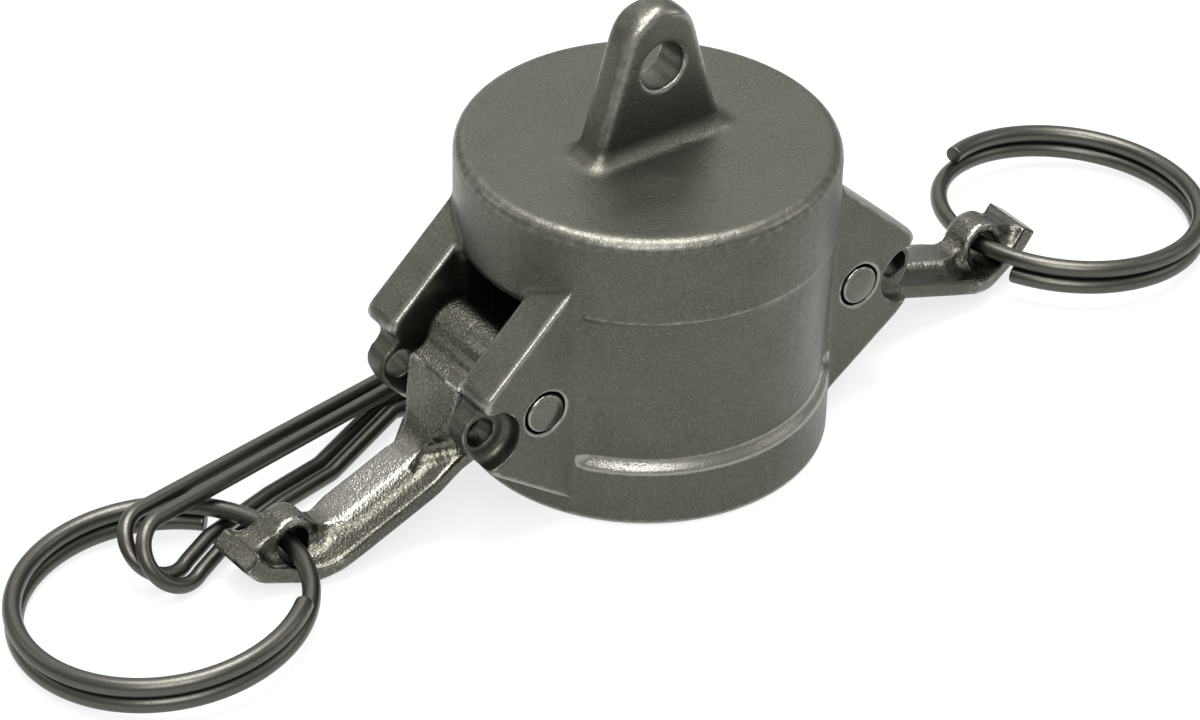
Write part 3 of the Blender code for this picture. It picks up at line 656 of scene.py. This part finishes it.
def softened_copy(node: str, name: str, voxel: float, fill: float, passes: int, share: float = 1.0,
                  reshape: Callable[[np.ndarray], np.ndarray] | None = None) -> bpy.types.Object:
    """Make a softly rounded copy of a CAD node, as a casting's skin.

    The merged copy is remeshed evenly, grown, remeshed and shrunk again, which fills its inner
    corners to a radius, and smoothed, which rounds its edges by about a voxel or two.

    Args:
        node: the CAD node.
        name: the piece's name.
        voxel: the size of the even mesh.
        fill: the radius of the filled inner corners.
        passes: how many times it is smoothed.
        share: the share of its triangles that is kept.
        reshape: a function that moves the copy's points first.

    Returns:
        The piece.
    """
    source = frame["nodes"][node]
    obj = bpy.data.objects.new(name, source.data.copy())
    bpy.context.scene.collection.objects.link(obj)
    obj.data.materials.clear()
    weld(obj, 1e-6)
    if reshape:
        move_points(obj, reshape)
    for growth in (fill, -fill):
        remesh = obj.modifiers.new("even_mesh", "REMESH")
        remesh.mode = "VOXEL"
        remesh.voxel_size = voxel
        remesh.adaptivity = 0.0
        grow = obj.modifiers.new("filled_corners", "DISPLACE")
        grow.mid_level = 0.0
        grow.strength = growth
    smooth = obj.modifiers.new("soft_edges", "SMOOTH")
    smooth.factor = 0.5
    smooth.iterations = passes
    if share < 1.0:
        fewer = obj.modifiers.new("fewer_faces", "DECIMATE")
        fewer.ratio = share
    depsgraph = bpy.context.evaluated_depsgraph_get()
    mesh = bpy.data.meshes.new_from_object(obj.evaluated_get(depsgraph))
    mesh.name = name
    obj.modifiers.clear()
    obj.data = mesh
    obj.data.shade_smooth()
    return obj


def settle(obj: bpy.types.Object, body: str, slot: str, material: bpy.types.Material, *nodes: str) -> None:
    """Dress a piece, let it ride on its body and stand for its CAD nodes.

    Args:
        obj: the piece.
        body: the CAD body that carries it.
        slot: the record's material slot, not used.
        material: its material.
        nodes: the CAD nodes that it replaces.
    """
    obj.data.materials.clear()
    obj.data.materials.append(material)
    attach(obj, body)
    if nodes:
        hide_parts(*nodes)
    LOG.info("%s rides on %s, %d faces", obj.name, body, len(obj.data.polygons))


@dataclass
class CapCasting:
    """The cast body of the cap with its ears and lug.

    The ledge above the skirt is a cove in the solids, between the radii and the heights given
    by ledge and ledge_height. It becomes a slope that starts at slope_start and runs by slope,
    each given as (radius, height). The safety hole is given as (distance from the axis, height).
    """

    voxel: float = 0.27 * MM
    fill: float = 0.45 * MM
    passes: int = 3
    share: float = 0.55
    edge_reach: float = 1.0 * MM
    ledge: tuple[float, float] = (22.0 * MM, 22.75 * MM)
    ledge_height: tuple[float, float] = (8.1 * MM, 9.0 * MM)
    slope_start: tuple[float, float] = (21.75 * MM, 9.0 * MM)
    slope: tuple[float, float] = (1.0 * MM, -1.25 * MM)
    # Painted highlight along the ledge and painted shade in the ears' scallops, added to the bend.
    highlight_margin: float = 0.1 * MM
    highlight_fade: float = 0.65 * MM
    painted_light_strength: float = 1.5
    safety_hole: tuple[float, float] = (30.8 * MM, 15.8 * MM)
    scallop_reach: tuple[float, float] = (3.9 * MM, 4.6 * MM)

    def slope_ledge(self, points: np.ndarray) -> np.ndarray:
        """Turn the ledge's cove into a straight slope that runs outwards and down.

        A point of the ledge goes to the share of the slope that it holds of the ledge's width.

        Args:
            points: the body's points.

        Returns:
            The moved points.
        """
        radius = np.hypot(points[:, 0], points[:, 1])
        inner, outer = self.ledge
        low, high = self.ledge_height
        share = (radius - inner) / (outer - inner)
        near = (np.abs(share - 0.5) < 0.6) & (points[:, 2] > low) & (points[:, 2] < high)
        scale = np.where(near, (self.slope_start[0] + share * self.slope[0]) / np.maximum(radius, MM), 1.0)
        height = np.where(near, self.slope_start[1] + share * self.slope[1], points[:, 2])
        return np.column_stack([points[:, 0] * scale, points[:, 1] * scale, height])

    def paint_light_and_shade(self, points: np.ndarray) -> np.ndarray:
        """Work out the painted highlight along the ledge and the painted shade in the ears' scallops.

        Args:
            points: the skin's points.

        Returns:
            The value to add to each point's bend.
        """
        radius = np.hypot(points[:, 0], points[:, 1])
        middle = self.slope_start[1] + self.slope[1] / 2
        ledge = (radius > self.slope_start[0] - self.highlight_margin) & (radius < self.ledge[1] + self.highlight_margin)
        # Painted highlight along the ledge.
        shine = ledge * np.clip(1.6 - np.abs(points[:, 2] - middle) / self.highlight_fade, 0.0, 1.0)
        across, up = self.safety_hole
        near, far = self.scallop_reach
        distance = np.hypot(np.abs(points[:, 0]) - across, points[:, 2] - up)
        return self.painted_light_strength * (shine - ramp(distance, far, near))

    def build(self, finishes: Finishes) -> None:
        """Make the body's skin and dress it.

        Args:
            finishes: the maker of materials.
        """
        body = softened_copy("cap_body", "cap_casting", self.voxel, self.fill, self.passes, self.share,
                             self.slope_ledge)
        store_bend(body, self.edge_reach)
        # Paints highlight on the ledge and shade in the scallops.
        add_bend(body, self.paint_light_and_shade)
        settle(body, "cap", CAST.slot, finishes.metal(CAST), "cap_body")


@dataclass
class CamArm:
    """One cast cam arm.

    At rest it slopes down outwards from its pivot, sits off the middle by shift and turns
    towards -Y by skew. Its rib is widened by moving places across it from across_before to
    across_after. Each pair of places says where a change is nil and where it is full.
    """

    side: str
    sign: int
    slope: float
    shift: float
    skew: float
    pivot: tuple[float, float] = (23.3 * MM, 17.0 * MM)
    voxel: float = 0.22 * MM
    fill: float = 1.30 * MM
    passes: int = 6
    edge_reach: float = 0.7 * MM
    rib_start: tuple[float, float] = (12.0 * MM, 15.0 * MM)
    rib_end: tuple[float, float] = (28.0 * MM, 24.5 * MM)
    across_before: tuple[float, ...] = (-6.3 * MM, -3.6 * MM, -1.65 * MM, 1.65 * MM, 2.9 * MM)
    across_after: tuple[float, ...] = (-6.3 * MM, -4.5 * MM, -2.8 * MM, 2.3 * MM, 2.9 * MM)
    rib_middle: float = -0.25 * MM
    rib_foot: float = -3.3 * MM
    # Painted highlight on the rib's top and painted shade on the flange beside it, added to the bend.
    highlight_reach: tuple[float, float] = (3.2 * MM, 2.2 * MM)
    painted_light_strength: float = 0.9
    shade_reach: tuple[float, float] = (-3.0 * MM, -3.5 * MM)
    painted_shade_strength: float = 1.3

    def on_arm(self, points: np.ndarray) -> tuple[np.ndarray, np.ndarray, np.ndarray]:
        """Place points in the arm's own terms.

        Args:
            points: points in the frame.

        Returns:
            Each point's place across the arm and its height above the pivot, and how fully it
            lies between the neck and the ring's boss.
        """
        out = self.sign * points[:, 0] - self.pivot[0]
        up = points[:, 2] - self.pivot[1]
        along = out * np.cos(self.slope) - up * np.sin(self.slope)
        height = out * np.sin(self.slope) + up * np.cos(self.slope)
        share = ramp(along, *self.rib_start) * ramp(along, *self.rib_end)
        return points[:, 1] - self.shift + along * np.sin(self.skew), height, share

    def widen_rib(self, points: np.ndarray) -> np.ndarray:
        """Widen the rib on the flange, moving each point across by a table of places.

        Args:
            points: the skin's points.

        Returns:
            The moved points.
        """
        across, _, share = self.on_arm(points)
        wide = np.interp(across, self.across_before, self.across_after)
        share = share * (across > self.across_before[0]) * (across < self.across_before[-1])
        return points + np.outer(share * (wide - across), [0.0, 1.0, 0.0])

    def paint_light_and_shade(self, points: np.ndarray) -> np.ndarray:
        """Work out the painted highlight on the rib's top and the painted shade on the flange beside it.

        Args:
            points: the skin's points.

        Returns:
            The value to add to each point's bend.
        """
        across, height, share = self.on_arm(points)
        rib = ramp(np.abs(across - self.rib_middle), *self.highlight_reach) * (height > self.rib_foot)
        return share * (self.painted_light_strength * rib - self.painted_shade_strength * ramp(across, *self.shade_reach))

    def build(self, material: bpy.types.Material) -> None:
        """Make the arm's skin and dress it.

        Args:
            material: the arm's steel.
        """
        arm = softened_copy(f"cam_arm_{self.side}", f"arm_casting_{self.side}", self.voxel, self.fill,
                            self.passes)
        move_points(arm, self.widen_rib)
        store_bend(arm, self.edge_reach)
        add_bend(arm, self.paint_light_and_shade)
        settle(arm, f"arm_{self.side}", ARM.slot, material, f"cam_arm_{self.side}")


@dataclass
class PivotPin:
    """One pivot pin, turned, with lightly domed heads."""

    side: str
    edge_reach: float = 0.5 * MM
    radius: float = 2.5 * MM
    half_length: float = 13.02 * MM
    chamfer: float = 0.35 * MM
    dome: float = 0.40 * MM

    def profile(self) -> np.ndarray:
        """Work out the profile of (radius, height) from one end to the other.

        The head is a shallow dome inside a rounded rim: the height falls with the square of
        the radius, then as a quarter circle.

        Returns:
            The profile's rows.
        """
        flat = np.linspace(0.0, self.radius - self.chamfer, 10)
        crown = self.half_length - self.dome * (flat / flat[-1]) ** 2
        turn = np.linspace(0.0, np.pi / 2, 7)[1:]
        rim_radius = self.radius - self.chamfer + self.chamfer * np.sin(turn)
        rim_height = crown[-1] - self.chamfer * (1 - np.cos(turn))
        top = np.stack([np.concatenate([flat, rim_radius]), np.concatenate([crown, rim_height])], axis=1)
        return np.concatenate([top, (top * [1, -1])[::-1]])

    def build(self, material: bpy.types.Material) -> None:
        """Make the pin and dress it.

        Args:
            material: the pin's steel.
        """
        low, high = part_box(f"pivot_pin_{self.side}")
        centre = ((low.x + high.x) / 2, 0.0, (low.z + high.z) / 2)
        pin = turned_surface(f"pin_{self.side}", self.profile(), 1, centre, 72)
        store_bend(pin, self.edge_reach)
        settle(pin, "cap", PIN.slot, material, f"pivot_pin_{self.side}")


@dataclass
class GasketRing:
    """The rubber gasket, with rounded corners and two fine grooves in its face."""

    inner: float = 13.7 * MM
    corner: float = 0.7 * MM
    groove_places: tuple[float, float] = (-1.0 * MM, 1.0 * MM)
    groove_depth: float = 0.25 * MM
    groove_width: float = 0.5 * MM

    def build(self, material: bpy.types.Material) -> None:
        """Turn the gasket's section about the cap's axis.

        The section is a box with rounded corners, and its lower face dips by a bell curve at
        each groove.

        Args:
            material: the rubber.
        """
        low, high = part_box("gasket")
        half = np.array([(high.x - self.inner) / 2, (high.z - low.z) / 2])
        middle = np.array([(high.x + self.inner) / 2, (high.z + low.z) / 2])
        parts = []
        for quarter, (across, along) in enumerate(((1, 1), (-1, 1), (-1, -1), (1, -1))):
            turn = np.linspace(quarter * np.pi / 2, (quarter + 1) * np.pi / 2, 7)
            spot = np.array([across, along]) * (half - self.corner)
            parts.append(spot + self.corner * np.stack([np.cos(turn), np.sin(turn)], axis=1))
            if quarter == 2:
                reach = half[0] - self.corner
                run = np.linspace(-reach, reach, 40)[1:-1]
                parts.append(np.stack([run, np.full(len(run), -half[1])], axis=1))
        section = np.concatenate(parts + [parts[0][:1]])
        for place in self.groove_places:
            dip = self.groove_depth * np.exp(-((section[:, 0] - place) / (self.groove_width / 2)) ** 2)
            section[:, 1] += np.where(section[:, 1] < -half[1] * 0.99, dip, 0.0)
        gasket = turned_surface("gasket_ring", section + middle, 2, (0.0, 0.0, 0.0), 160)
        settle(gasket, "cap", RUBBER.slot, material, "gasket")


def joint_place(name: str) -> list[float]:
    """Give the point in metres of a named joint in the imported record."""
    return next(joint["pos_m"] for joint in frame["joints"] if joint["name"] == name)


@dataclass
class PullRing:
    """A split ring of coiled wire.

    Its tilt towards the table, its roll and the angle at which its wire starts are in degrees.
    """

    side: str
    sign: int
    tilt: float
    roll: float
    start: float
    radius: float = 17.0 * MM
    wire_radius: float = 1.1 * MM
    pitch: float = 2.32 * MM
    sweep: float = 630.0
    end_round: float = 0.25 * MM

    def path(self) -> np.ndarray:
        """Work out the ring's centre line.

        At angle a from the arm's hole the wire is at (r (1 - cos a), -r sin a, pitch a / 2 pi),
        tilted and turned outwards, and moved to the hole.

        Returns:
            The line's points.
        """
        angle = np.radians(self.start + np.linspace(0.0, self.sweep, 421))
        local = np.stack([self.radius * (1 - np.cos(angle)), -self.radius * np.sin(angle),
                          self.pitch * angle / (2 * np.pi)], axis=1)
        return local @ self.turn().T + np.array(joint_place(f"ring_{self.side}_swing"))

    def turn(self) -> np.ndarray:
        """Give the matrix that lays the ring outwards and tilts and rolls it to the table."""
        heading = Matrix.Rotation(np.pi if self.sign < 0 else 0.0, 3, "Z")
        roll = Matrix.Rotation(self.sign * np.radians(self.roll), 3, "X")
        return np.array(heading @ Matrix.Rotation(np.radians(self.tilt), 3, "Y") @ roll)

    def build(self, material: bpy.types.Material) -> None:
        """Make the ring and dress it.

        Args:
            material: the wire's steel.
        """
        flat = self.turn() @ np.array([0.0, 0.0, 1.0])
        ring = wire_surface(f"split_ring_{self.side}", self.path(), flat, self.wire_radius, self.end_round)
        settle(ring, f"ring_{self.side}", WIRE.slot, material, f"pull_ring_{self.side}")


def rounded_line(corners: np.ndarray, radii: np.ndarray, steps: int = 14) -> np.ndarray:
    """Round the corners of a line in its plane.

    At each corner the line leaves its straight at radius / tan(half angle) from the corner and
    follows a circle whose centre is radius / sin(half angle) away along the corner's middle line.

    Args:
        corners: rows of (u, v), the first and the last being ends.
        radii: the radius at each inner corner.
        steps: the number of steps round a corner.

    Returns:
        The rounded line's points.
    """
    pieces = [corners[:1]]
    for before, here, after, radius in zip(corners[:-2], corners[1:-1], corners[2:], radii):
        back = (before - here) / np.linalg.norm(before - here)
        ahead = (after - here) / np.linalg.norm(after - here)
        half = np.arccos(np.clip(back @ ahead, -1.0, 1.0)) / 2
        middle = (back + ahead) / np.linalg.norm(back + ahead)
        centre = here + middle * radius / np.sin(half)
        first = here + back * radius / np.tan(half) - centre
        last = here + ahead * radius / np.tan(half) - centre
        swing = np.arctan2(first[0] * last[1] - first[1] * last[0], first @ last)
        angle = np.linspace(0.0, swing, steps + 1)
        pieces.append(centre + np.stack([first[0] * np.cos(angle) - first[1] * np.sin(angle),
                                         first[0] * np.sin(angle) + first[1] * np.cos(angle)], axis=1))
    pieces.append(corners[-1:])
    return np.concatenate(pieces)


def even_line(points: np.ndarray, step: float) -> np.ndarray:
    """Space a line's points evenly along its length.

    Args:
        points: the line's points.
        step: the wanted distance.

    Returns:
        Evenly spaced points on the same line.
    """
    run = np.concatenate([[0.0], np.cumsum(np.linalg.norm(np.diff(points, axis=0), axis=1))])
    keep = np.concatenate([[True], np.diff(run) > 1e-9])
    spots = np.linspace(0.0, run[-1], int(round(run[-1] / step)) + 1)
    return np.stack([np.interp(spots, run[keep], points[keep, k]) for k in range(points.shape[1])], axis=1)


@dataclass
class SafetyClip:
    """One bent wire clip: straight leg, round bow, and waved leg.

    The foot is where the straight leg meets the bow, in millimetres from the left ring's joint.
    Heading, climb and turn are in degrees, and the waves are rows of (u, v, radius) in millimetres.
    """

    name: str
    foot: tuple[float, float, float]
    heading: float
    climb: float
    turn: float
    wire_radius: float = 0.945 * MM
    leg: float = 45.01 * MM
    bow_radius: float = 4.2 * MM
    bow_overlap: float = 26.0
    waves: tuple[tuple[float, float, float], ...] = (
        (6.61, 6.64, 2.50), (17.24, 5.67, 4.00), (26.25, 5.43, 3.50), (39.20, 2.55, 2.50), (43.70, 3.45, 0.0))
    step: float = 0.45 * MM
    end_round: float = 0.30 * MM

    def shape(self) -> np.ndarray:
        """Work out the wire's line in its own plane.

        The straight leg lies on v = 0, the bow is a circle that touches it at u = 0, and the
        waved leg runs back along rounded corners.

        Returns:
            Rows of (u, v).
        """
        angle = np.radians(np.linspace(-90.0, -270.0 - self.bow_overlap, 60))
        bow = self.bow_radius * np.stack([np.cos(angle), 1 + np.sin(angle)], axis=1)
        waves = np.array(self.waves) * MM
        tail = rounded_line(np.concatenate([bow[-1:], waves[:, :2]]), waves[:-1, 2])
        return even_line(np.concatenate([[[self.leg, 0.0]], bow, tail[1:]]), self.step)

    def axes(self) -> tuple[np.ndarray, np.ndarray]:
        """Give the directions along the straight leg and across it in the clip's plane."""
        heading, climb, turn = np.radians([self.heading, self.climb, self.turn])
        along = np.array([np.cos(heading) * np.cos(climb), np.sin(heading) * np.cos(climb), np.sin(climb)])
        aside = np.cross(along, [0.0, 0.0, 1.0])
        aside /= np.linalg.norm(aside)
        return along, aside * np.cos(turn) - np.cross(aside, along) * np.sin(turn)

    def build(self, material: bpy.types.Material) -> None:
        """Make the clip and dress it.

        Args:
            material: the wire's steel.
        """
        along, across = self.axes()
        shape = self.shape()
        foot = np.array(joint_place("ring_left_swing")) + np.array(self.foot) * MM
        path = foot + shape[:, :1] * along + shape[:, 1:] * across
        clip = wire_surface(f"wire_clip_{self.name}", path, np.cross(along, across), self.wire_radius,
                            self.end_round)
        settle(clip, f"clip_{self.name}", WIRE.slot, material, f"safety_clip_{self.name}")


@dataclass(frozen=True)
class Lamp:
    """One square soft lamp: its place, the length of its side and its power in watts."""

    name: str
    place: tuple[float, float, float]
    size: float
    power: float


@dataclass(frozen=True)
class Studio:
    """The floor, the sky, the lamps and the camera."""

    camera_place: tuple[float, float, float] = (-0.25552, -0.33368, 0.30536)
    camera_heading: float = 36.751
    camera_drop: float = 35.30
    camera_roll: float = 1.321
    lens: float = 127.05
    floor_size: float = 6.0
    floor_gap: float = 0.0001
    shadow_share: float = 0.25
    covered_radius: float = 22.0 * MM
    covered_fade: float = 2.0 * MM
    aim: tuple[float, float, float] = (0.0, 0.0, 0.02)
    lamps: tuple[Lamp, ...] = (
        Lamp("soft_box_over", (0.02, 0.06, 0.80), 0.50, 8.5),
        Lamp("soft_box_front", (-0.36, -0.48, 0.61), 0.45, 4.2),
        Lamp("soft_box_back", (0.35, 0.70, 0.56), 0.80, 1.5),
        Lamp("soft_box_left", (-0.50, 0.60, 0.50), 0.35, 0.6),
        Lamp("soft_box_side", (0.70, -0.45, 0.50), 0.40, 0.9))

    def build(self) -> None:
        """Set up everything round the object."""
        self.add_floor()
        self.add_sky()
        self.add_camera()
        for lamp in self.lamps:
            self.add_lamp(lamp)
        bpy.context.scene.view_settings.view_transform = "Standard"

    def add_floor(self) -> None:
        """Lay a white floor that shows a faint shadow and reflects as white.

        Under the cap's mouth it doesn't glow, so that the socket stays dark.
        """
        half = self.floor_size / 2
        corners = np.array([[-half, -half], [half, -half], [half, half], [-half, half]])
        points = np.concatenate([corners, np.full((4, 1), -self.floor_gap)], axis=1)
        floor = add_surface("studio_floor", points, [[0, 1, 2, 3]])
        material, bench = new_material("white_floor")
        diffuse = bench.add("ShaderNodeBsdfDiffuse", Color=(0.90, 0.90, 0.90, 1.0))
        glow = bench.add("ShaderNodeEmission", Color=(1.0, 1.0, 1.0, 1.0), Strength=1.0)
        path = bench.add("ShaderNodeLightPath")
        shown = bench.maths("MAXIMUM", path.outputs["Is Camera Ray"], path.outputs["Is Transmission Ray"])
        seen = bench.maths("MAXIMUM", shown, path.outputs["Is Glossy Ray"])
        place = bench.add("ShaderNodeTexCoord").outputs["Object"]
        distance = bench.add("ShaderNodeVectorMath", {"operation": "LENGTH"})
        bench.put(distance.inputs[0], place)
        outside = bench.spread(distance.outputs["Value"], self.covered_radius - self.covered_fade,
                               self.covered_radius)
        share = bench.maths("MULTIPLY", bench.maths("MULTIPLY", seen, outside), 1.0 - self.shadow_share)
        mix = bench.add("ShaderNodeMixShader", Fac=share)
        bench.put(mix.inputs[1], diffuse.outputs[0])
        bench.put(mix.inputs[2], glow.outputs[0])
        bench.add("ShaderNodeOutputMaterial", Surface=mix.outputs[0])
        floor.data.materials.append(material)

    def add_sky(self) -> None:
        """Give the world a soft grey light that is brighter overhead, and white to the camera."""
        world = bpy.data.worlds.new("studio_sky")
        bpy.context.scene.world = world
        world.use_nodes = True
        world.node_tree.nodes.clear()
        bench = NodeBench(world.node_tree)
        direction = bench.add("ShaderNodeTexCoord").outputs["Generated"]
        height = bench.add("ShaderNodeSeparateXYZ", Vector=direction).outputs["Z"]
        level = bench.spread(height, -0.1, 0.9, 0.38, 0.72)
        sky = bench.add("ShaderNodeBackground", Strength=level)
        bench.put(sky.inputs["Color"], (1.0, 0.985, 0.96, 1.0))
        white = bench.add("ShaderNodeBackground", Strength=1.0)
        bench.put(white.inputs["Color"], (1.0, 1.0, 1.0, 1.0))
        path = bench.add("ShaderNodeLightPath")
        mix = bench.add("ShaderNodeMixShader", Fac=path.outputs["Is Camera Ray"])
        bench.put(mix.inputs[1], sky.outputs[0])
        bench.put(mix.inputs[2], white.outputs[0])
        bench.add("ShaderNodeOutputWorld", Surface=mix.outputs[0])

    def add_camera(self) -> None:
        """Put the camera where the photograph was taken from."""
        heading, drop, roll = np.radians([self.camera_heading, self.camera_drop, self.camera_roll])
        ahead = np.array([np.sin(heading) * np.cos(drop), np.cos(heading) * np.cos(drop), -np.sin(drop)])
        level = np.array([np.cos(heading), -np.sin(heading), 0.0])
        upright = np.cross(level, ahead)
        right = np.cos(roll) * level + np.sin(roll) * upright
        up = -np.sin(roll) * level + np.cos(roll) * upright
        data = bpy.data.cameras.new("photo_camera")
        data.lens = self.lens
        data.sensor_width = 36.0
        data.clip_start, data.clip_end = 0.01, 20.0
        camera = bpy.data.objects.new("photo_camera", data)
        bpy.context.scene.collection.objects.link(camera)
        turn = Matrix(np.stack([right, up, -ahead], axis=1).tolist()).to_4x4()
        camera.matrix_world = Matrix.Translation(self.camera_place) @ turn
        bpy.context.scene.camera = camera

    def add_lamp(self, lamp: Lamp) -> None:
        """Hang a lamp that faces the object.

        Args:
            lamp: the lamp.
        """
        data = bpy.data.lights.new(lamp.name, "AREA")
        data.shape = "SQUARE"
        data.size = lamp.size
        data.energy = lamp.power
        light = bpy.data.objects.new(lamp.name, data)
        bpy.context.scene.collection.objects.link(light)
        light.location = lamp.place
        light.rotation_euler = (Vector(self.aim) - Vector(lamp.place)).to_track_quat("-Z", "Y").to_euler()


def main() -> None:
    """Build and dress every piece, then the studio."""
    logging.basicConfig(level=logging.INFO, format="%(name)s: %(message)s")
    finishes = Finishes()
    arm_steel, pin_steel, wire_steel = (finishes.metal(finish) for finish in (ARM, PIN, WIRE))
    CapCasting().build(finishes)
    GasketRing().build(finishes.rubber(RUBBER))
    CamArm("left", -1, slope=np.radians(20.4), shift=-0.35 * MM, skew=np.radians(1.4)).build(arm_steel)
    CamArm("right", 1, slope=np.radians(18.6), shift=0.0, skew=0.0).build(arm_steel)
    for side in ("left", "right"):
        PivotPin(side).build(pin_steel)
    PullRing("left", -1, tilt=3.0, roll=-0.9, start=-318.0).build(wire_steel)
    PullRing("right", 1, tilt=4.7, roll=-1.5, start=-336.0).build(wire_steel)
    SafetyClip("rear", (-12.76, 12.00, 2.60), heading=13.7, climb=-4.7, turn=40.8).build(wire_steel)
    SafetyClip("front", (-12.16, 8.67, 3.27), heading=14.7, climb=-5.1, turn=49.5).build(wire_steel)
    Studio().build()


if __name__ == "__main__":
    main()
